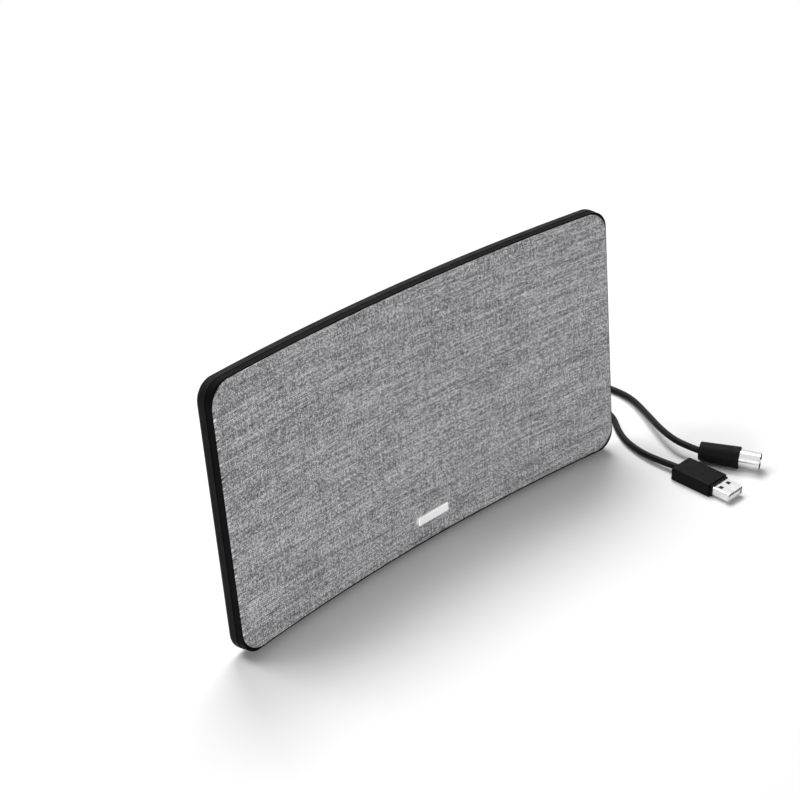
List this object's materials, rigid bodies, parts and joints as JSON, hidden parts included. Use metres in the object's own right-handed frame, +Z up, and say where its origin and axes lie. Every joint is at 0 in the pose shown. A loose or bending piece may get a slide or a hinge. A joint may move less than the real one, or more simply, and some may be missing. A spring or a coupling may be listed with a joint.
{
  "type": "indoor tv antenna",
  "caption": "Bent cloth-fronted indoor TV antenna panel leaning back on an amplifier foot, with an aerial cable and plug and a USB power cable and plug.",
  "frame": {"origin": "on the floor, under the middle of the panel and foot, cables left out", "axes": "+Z up, cloth faces -Y, +X to the right seen from the front"},
  "size_m": [0.3005, 0.2069, 0.1319],
  "materials": {
    "grey_cloth": "woven grey heather cloth",
    "carrier_black": "moulded black, fine grain",
    "housing_black": "moulded black, fine grain",
    "bar_metal": "satin chrome",
    "element_metal": "stamped sheet",
    "screw_steel": "zinc-plated",
    "pad_rubber": "matt rubber",
    "board_green": "solder mask",
    "chip_black": "moulded package",
    "capacitor_sleeve": "shrink sleeve",
    "can_steel": "tin-plated sheet",
    "gland_rubber": "soft moulding",
    "coax_jacket": "smooth cable jacket",
    "usb_jacket": "smooth cable jacket",
    "tie_black": "strap",
    "plug_black": "overmoulded plug",
    "plug_nickel": "nickel plate",
    "insulator_white": "moulded insulator",
    "shell_steel": "folded plated sheet",
    "tongue_white": "moulded tongue",
    "contact_gold": "gold flash"
  },
  "bodies": {
    "root": {"fabric_cover": "grey_cloth", "front_carrier": "carrier_black", "rear_housing": "housing_black", "badge_bar": "bar_metal", "left_element": "element_metal", "right_element": "element_metal", "housing_screws": "screw_steel", "foot_housing": "housing_black", "foot_screws": "screw_steel", "base_plate": "housing_black", "base_screws": "screw_steel", "front_pads": "pad_rubber", "rear_pads": "pad_rubber", "amplifier_board": "board_green", "amplifier_chip": "chip_black", "board_capacitors": "capacitor_sleeve", "board_screws": "screw_steel", "shield_can": "can_steel", "coax_gland": "gland_rubber", "usb_gland": "gland_rubber", "coax_tail": "coax_jacket", "coax_coil": "coax_jacket", "coax_lead": "coax_jacket", "coax_tie": "tie_black", "usb_tail": "usb_jacket", "usb_coil": "usb_jacket", "usb_lead": "usb_jacket", "usb_tie": "tie_black", "coax_plug_grip": "plug_black", "coax_plug_sleeve": "plug_nickel", "coax_plug_insulator": "insulator_white", "coax_plug_pin": "plug_nickel", "usb_plug_grip": "plug_black", "usb_plug_shell": "shell_steel", "usb_plug_tongue": "tongue_white", "usb_plug_contacts": "contact_gold"}
  },
  "joints": []
}
